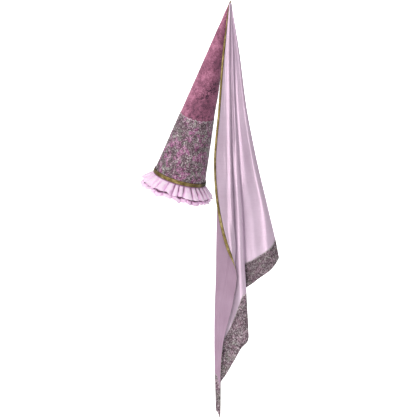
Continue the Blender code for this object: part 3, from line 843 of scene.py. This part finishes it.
# One row for each fold line, from the braided edge to the plain edge.
#   head     angle round the tip in degrees (0 faces -Y) and layer outwards, where it is gathered
#   across   how far right of the tip it lies at each of SECTION_DROPS, as shares of VEIL_SPREAD
#   forward  how far towards -Y it lies at each of SECTION_DROPS, as shares of VEIL_DEPTH
#   hem      where it ends, and how deep the brocade is there, as shares of VEIL_DROP
FOLDS = {
    "braided_edge": dict(
        head=(-25, 2.0),
        across=(-0.106, -0.179, -0.244, -0.179, -0.048, 0.088, 0.050, -0.109, -0.156),
        forward=(0.06, 0.12, 0.16, 0.34, 0.66, 0.69, 0.44, 0.31, 0.25),
        hem=(1.000, 0.072)),
    "lapel_flat": dict(
        head=(-10, 2.1),
        across=(-0.062, -0.080, -0.080, -0.058, 0.026, 0.080, 0.000, -0.132, -0.167),
        forward=(0.22, 0.46, 0.68, 0.74, 0.82, 0.56, 0.34, 0.25, 0.19),
        hem=(0.996, 0.075)),
    "lapel_ridge": dict(
        head=(5, 2.1),
        across=(-0.014, -0.010, 0.004, 0.034, 0.078, 0.045, -0.053, -0.152, -0.176),
        forward=(0.28, 0.58, 0.82, 0.84, 0.60, 0.31, 0.28, 0.19, 0.16),
        hem=(0.993, 0.078)),
    "lapel_fold": dict(
        head=(15, 1.5),
        across=(0.000, 0.002, 0.018, 0.048, 0.035, -0.010, -0.098, -0.170, -0.185),
        forward=(0.16, 0.32, 0.42, 0.40, 0.25, 0.16, 0.19, 0.12, 0.09),
        hem=(0.989, 0.082)),
    "inner_panel": dict(
        head=(0, 1.0),
        across=(-0.038, -0.083, -0.114, -0.076, -0.061, -0.080, -0.159, -0.194, -0.197),
        forward=(0.00, 0.03, 0.09, 0.12, 0.12, 0.06, 0.06, 0.03, 0.03),
        hem=(0.986, 0.086)),
    "left_fold": dict(
        head=(-15, 0.5),
        across=(-0.076, -0.136, -0.189, -0.198, -0.206, -0.209, -0.224, -0.233, -0.209),
        forward=(-0.09, -0.19, -0.22, -0.19, -0.16, -0.16, -0.12, -0.09, -0.06),
        hem=(0.981, 0.090)),
    "hidden_panel": dict(
        head=(0, 0.0),
        across=(-0.038, -0.076, -0.091, -0.083, -0.076, -0.076, -0.106, -0.167, -0.190),
        forward=(-0.22, -0.41, -0.53, -0.53, -0.50, -0.47, -0.41, -0.34, -0.25),
        hem=(0.930, 0.088)),
    "roll_root": dict(
        head=(25, 0.0),
        across=(-0.004, -0.012, -0.010, 0.020, 0.032, 0.040, 0.030, -0.030, -0.080),
        forward=(-0.08, -0.10, -0.06, -0.04, -0.06, -0.10, -0.18, -0.26, -0.34),
        hem=(0.897, 0.108)),
    "roll_ridge": dict(
        head=(40, 0.9),
        across=(0.030, 0.053, 0.090, 0.128, 0.146, 0.154, 0.166, 0.156, 0.120),
        forward=(0.14, 0.24, 0.32, 0.36, 0.38, 0.38, 0.38, 0.34, 0.28),
        hem=(0.838, 0.122)),
    "roll_side": dict(
        head=(55, 0.5),
        across=(0.046, 0.080, 0.134, 0.192, 0.212, 0.230, 0.252, 0.282, 0.300),
        forward=(0.06, 0.10, 0.14, 0.16, 0.16, 0.16, 0.14, 0.12, 0.10),
        hem=(0.804, 0.108)),
    "flap_root": dict(
        head=(65, 0.0),
        across=(0.042, 0.068, 0.114, 0.162, 0.178, 0.184, 0.184, 0.200, 0.215),
        forward=(-0.16, -0.24, -0.34, -0.42, -0.46, -0.50, -0.56, -0.60, -0.64),
        hem=(0.708, 0.068)),
    "flap_flat": dict(
        head=(80, 0.5),
        across=(0.075, 0.126, 0.210, 0.300, 0.335, 0.360, 0.400, 0.460, 0.540),
        forward=(-0.10, -0.20, -0.24, -0.04, -0.06, -0.10, -0.16, -0.22, -0.30),
        hem=(0.674, 0.053)),
    "flap_ridge": dict(
        head=(94, 0.5),
        across=(0.112, 0.212, 0.352, 0.520, 0.572, 0.625, 0.705, 0.805, 0.965),
        forward=(0.06, 0.08, 0.30, 0.56, 0.52, 0.48, 0.42, 0.36, 0.30),
        hem=(0.644, 0.047)),
    "right_fold": dict(
        head=(108, 0.2),
        across=(0.136, 0.255, 0.417, 0.595, 0.712, 0.765, 0.840, 0.960, 1.150),
        forward=(-0.07, -0.12, -0.16, -0.16, -0.20, -0.22, -0.22, -0.22, -0.22),
        hem=(0.617, 0.045)),
    "plain_edge": dict(
        head=(122, 0.0),
        across=(0.118, 0.224, 0.379, 0.550, 0.667, 0.715, 0.790, 0.900, 1.080),
        forward=(-0.19, -0.38, -0.53, -0.56, -0.59, -0.59, -0.62, -0.62, -0.62),
        hem=(0.610, 0.045)),
}


def smooth(stations, values, at):
    """Values between stations, on a curve through each of them with its neighbours' slope."""
    stations = np.asarray(stations, float)
    values = np.asarray(values, float)
    slopes = np.gradient(values, stations)
    i = np.clip(np.searchsorted(stations, at) - 1, 0, len(stations) - 2)
    span = stations[i + 1] - stations[i]
    t = np.clip((at - stations[i]) / span, 0.0, 1.0)
    before = values[i] * (1 + 2 * t) + slopes[i] * span * t
    after = values[i + 1] * (3 - 2 * t) - slopes[i + 1] * span * (1 - t)
    return before * (1 - t) ** 2 + after * t ** 2


def fold_lines(drop):
    """Rightward and forward distance of every fold line at each drop of a grid."""
    stations = np.array([VEIL_HEAD_DROP, *(share * VEIL_DROP for share in SECTION_DROPS)])
    across, forward = [], []
    for fold in FOLDS.values():
        angle, layer = math.radians(fold["head"][0]), fold["head"][1]
        out = TIP_RADIUS + GAP + VEIL_WALL / 2 + layer * VEIL_LAYER_STEP
        x = [out * math.sin(angle), *(share * VEIL_SPREAD for share in fold["across"])]
        y = [out * math.cos(angle), *(share * VEIL_DEPTH for share in fold["forward"])]
        across.append(smooth(stations, x, drop))
        forward.append(smooth(stations, y, drop))
    return np.array(across), np.array(forward)


def veil_surface(column, drop):
    """Points of the veil. Between fold lines it is a cubic through four of them, level by level."""
    column, drop = np.broadcast_arrays(column, drop)
    lines = np.stack(fold_lines(drop))
    slopes = np.gradient(lines, axis=1)
    i = np.clip(np.floor(column).astype(int), 0, len(FOLDS) - 2)
    t = column - i

    def pick(values, k):
        """Each point's own fold line out of all of them."""
        return np.take_along_axis(values, k[None, None], axis=1)[:, 0]

    before = pick(lines, i) * (1 + 2 * t) + pick(slopes, i) * t
    after = pick(lines, i + 1) * (3 - 2 * t) - pick(slopes, i + 1) * (1 - t)
    x, y = before * (1 - t) ** 2 + after * t ** 2
    return TIP + np.stack([x, -y, -drop], axis=-1)


def hem_lines(column):
    """Drop of the hem, and of the seam between satin and brocade, at each column."""
    folds = np.arange(len(FOLDS))
    end = smooth(folds, [fold["hem"][0] for fold in FOLDS.values()], column) * VEIL_DROP
    trim = smooth(folds, [fold["hem"][1] for fold in FOLDS.values()], column) * VEIL_DROP
    return end, end - trim


def drape(column, drop):
    """Height of the small forms on the hanging satin.

    Long and short soft creases run down it and grow with the drop. Beside the roll it stands
    fuller, like a bell over the columns, from a little below the tip to the crossing.
    """
    grow = np.clip(drop / CREASE_GROWN, 0, 1)
    long_creases = LONG_CREASE * soft_noise(column * 1.6 + drop * 1.1, drop * 3.1, 41)
    short_creases = SHORT_CREASE * soft_noise(column * 4.5 - drop * 2.0, drop * 9.0, 42)
    full = np.exp(-((column - FULL_COLUMN) / FULL_WIDTH) ** 2)
    full = full * np.clip(drop * 5, 0, 1) * np.clip((0.75 - drop) * 5, 0, 1)
    return grow * (long_creases + short_creases) + FULL_DEPTH * full


def rippled(column, drop):
    """The veil with its ripples, and the unit normals of its face."""
    column, drop = np.broadcast_arrays(column, drop)
    points = veil_surface(column, drop)
    points = points + normals(points, closed=False) * drape(column, drop)[:, :, None]
    return points, normals(points, closed=False)


def make_satin():
    """Satin face: smooth, with a broad sheen along the folds, fine level threads, and faint lighter
    slubs and streaks along them."""
    satin = Shader("lilac satin", Metallic=0.34, Roughness=0.40, Specular_IOR_Level=0.55,
                   Anisotropic=0.5, Anisotropic_Rotation=0.25, Subsurface_Weight=0.35)
    satin.fill(satin.surface, {
        "Subsurface Radius": (0.012, 0.010, 0.012), "Subsurface Scale": 1.0,
        "Tangent": satin.add("Tangent", {}, direction_type="UV_MAP", uv_map="metres")})
    uv = satin.place("UV")
    weft = satin.add("TexWave", {"Vector": uv, "Scale": 300.0, "Distortion": 0.6, "Detail": 2.0,
                                 "Detail Scale": 2.0}, out=1, bands_direction="Y")
    slub = satin.noise(satin.place("UV", (60.0, 900.0, 1.0)), 1.0, detail=2.0)
    cloudy = satin.noise(satin.place(), 14.0, detail=3.0)
    streaks = satin.noise(satin.place("UV", (16.0, 240.0, 1.0)), 1.0, detail=3.0, roughness=0.6)
    tint = satin.ramp(cloudy, ((0.3, "b99fb6"), (0.7, "c5acc3")))
    tint = satin.mix(satin.span(slub, 0.35, 0.75, 0.0, 0.08), tint, colour("f3e6f2"))
    tint = satin.mix(satin.span(streaks, 0.35, 0.65, 0.0, 0.06), tint, colour("efe2ee"))
    threads = satin.bump(weft, 0.00006)
    satin.fill(satin.surface, {
        "Base Color": tint, "Normal": satin.bump(slub, 0.00007, threads)})
    return satin.material


def make_satin_reverse():
    """The satin's reverse: dull and a little darker, with a faint slanting twill."""
    satin = Shader("satin reverse", Roughness=0.62, Specular_IOR_Level=0.3, Sheen_Weight=0.6,
                   Sheen_Roughness=0.3)
    uv = satin.place("UV")
    weft = satin.add("TexWave", {"Vector": uv, "Scale": 240.0, "Distortion": 0.8, "Detail": 2.0,
                                 "Detail Scale": 2.0}, out=1, bands_direction="DIAGONAL")
    cloudy = satin.noise(satin.place(), 18.0, detail=3.0)
    tint = satin.ramp(cloudy, ((0.3, "977b91"), (0.7, "a2879d")))
    tint = satin.mix(satin.span(weft, 0.0, 1.0, 0.0, 0.10), tint, colour("d9c4d5"))
    satin.fill(satin.surface, {"Base Color": tint, "Normal": satin.bump(weft, 0.00008)})
    return satin.material


def make_veil():
    """The sheet from the tip down to the seam, a wall of even thickness along the veil's surface.

    The face is the side that looks towards the camera at the braided edge, halfway down.
    """
    rows, columns = VEIL_ROWS, (len(FOLDS) - 1) * VEIL_COLUMNS + 1
    column = np.linspace(0, len(FOLDS) - 1, columns)[None, :]
    _, seam = hem_lines(column)
    share = np.linspace(0, 1, rows)[:, None]
    drop = VEIL_HEAD_DROP + (seam + SEAM_LAP - VEIL_HEAD_DROP) * share
    middle, normal = rippled(column, drop)
    half = normal * VEIL_WALL / 2
    side = -1 if normal[rows // 2, 2, 1] > 0 else 1
    veil = wall("satin_veil", middle + side * half, middle - side * half, lengths(middle),
                (make_satin(), make_satin_reverse()))
    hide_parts("veil_satin")
    return veil, side


veil, face_side = make_veil()


# Brocade hem: a border of the same kind of brocade, greyer, stitched over the satin's lower edge
# and folded to the back, so both sides show it.

HEM_ROWS = 44
HEM_COLUMNS = 20
HEM_HALF = 0.00085
HEM_ROLL = 0.0003
HEM_ROLL_REACH = 0.002
HEM_WEAVE = 0.0002
# How much darker the hem is across the flap's folds
HEM_DARKENING = 0.20
HEM_COLOURS = dict(
    silver=("a49da1", "d2cccf", "f8f3f5"), ground=("35262e", "5c4752", "806b77"),
    flower=("54404b", "795d6c", "a18895"), leaf=("46413f", "716b69", "9c9693"),
    blush="dfd3d9", darkened="33242b", fine=1.2)


def make_hem():
    """The veil's surface from the seam to the hem, a thicker wall with rolled edges.

    The part across the flap's folds, from column 9.5 to column 14.5, is darker.
    """
    rows, columns = HEM_ROWS, (len(FOLDS) - 1) * HEM_COLUMNS + 1
    column = np.linspace(0, len(FOLDS) - 1, columns)[None, :]
    end, seam = hem_lines(column)
    share = np.linspace(0, 1, rows)[:, None]
    drop = seam - SEAM_LAP + (end - seam + SEAM_LAP) * share
    middle, normal = rippled(column, drop)
    u, v = lengths(middle)
    from_edge = np.minimum(v, v[-1:] - v)
    thick = HEM_HALF + HEM_ROLL * np.exp(-(from_edge / HEM_ROLL_REACH) ** 2)
    thick = thick + HEM_WEAVE * soft_noise(u * 300, v * 300, 51)
    half = normal * thick[:, :, None]
    brocade = make_brocade("grey and mauve brocade", **HEM_COLOURS)
    darkened = HEM_DARKENING * np.clip(column - 9.5, 0, 1) * np.clip(14.5 - column, 0, 1)
    hem = wall("brocade_border", middle + half, middle - half, (u, v), (brocade,),
               hollow=(darkened, darkened))
    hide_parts("veil_brocade_hem")
    return hem


hem = make_hem()


# Gold braid: a flat plaited gold braid 8 mm wide, and 11 mm from the crossing down. It is stitched
# on the face of the veil along its left edge, from the tip to the hem's point.

BRAID_WIDTH = 0.0080
BRAID_WIDENING = 0.4
BRAID_CROSSING = 0.60
BRAID_WALL = 0.0012
BRAID_LIFT = 0.0002
BRAID_PITCH = 0.0045
BRAID_GRID = (1900, 11)

# The braid reaches over at most this share of the way to the next fold line
BRAID_MOST_COLUMN = 0.80


def make_braid(gold):
    """A strip that follows the veil's edge. Each row spans the braid's width, found from how fast
    the surface runs with the column at the edge. Its outside carries the herringbone's height."""
    rows, columns = BRAID_GRID
    end = hem_lines(np.zeros(1))[0][0]
    drop = np.linspace(VEIL_HEAD_DROP, end, rows)[:, None]
    step = 0.02
    speed = np.linalg.norm(veil_surface(step, drop) - veil_surface(0.0, drop), axis=2) / step
    width = BRAID_WIDTH * (1 + BRAID_WIDENING * np.clip((drop - BRAID_CROSSING) * 5, 0, 1))
    reach = np.minimum(width / speed, BRAID_MOST_COLUMN)
    share = np.linspace(0, 1, columns)[None, :]
    column = reach * share
    middle, normal = rippled(column, drop)
    normal = normal * face_side
    across = share * 2 - 1
    round_edge = 0.0003 * np.clip((np.abs(across) - 0.8) / 0.2, 0, 1) ** 2
    plait = herringbone(lengths(middle)[1] / BRAID_PITCH, across)
    # Painted shade between the threads and along both edges of the braid
    hollow = np.clip(1 - plait + np.clip((np.abs(across) - 0.6) / 0.4, 0, 1), 0, 1)
    low = VEIL_WALL / 2 + BRAID_LIFT
    top = (low + BRAID_WALL - round_edge + PLAIT_HEIGHT * plait)[:, :, None]
    braid = wall("gold_braid", middle + normal * top, middle + normal * low, lengths(middle),
                 (gold,), hollow=(hollow, 0.5))
    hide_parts("veil_gold_braid")
    return braid


braid = make_braid(gold)
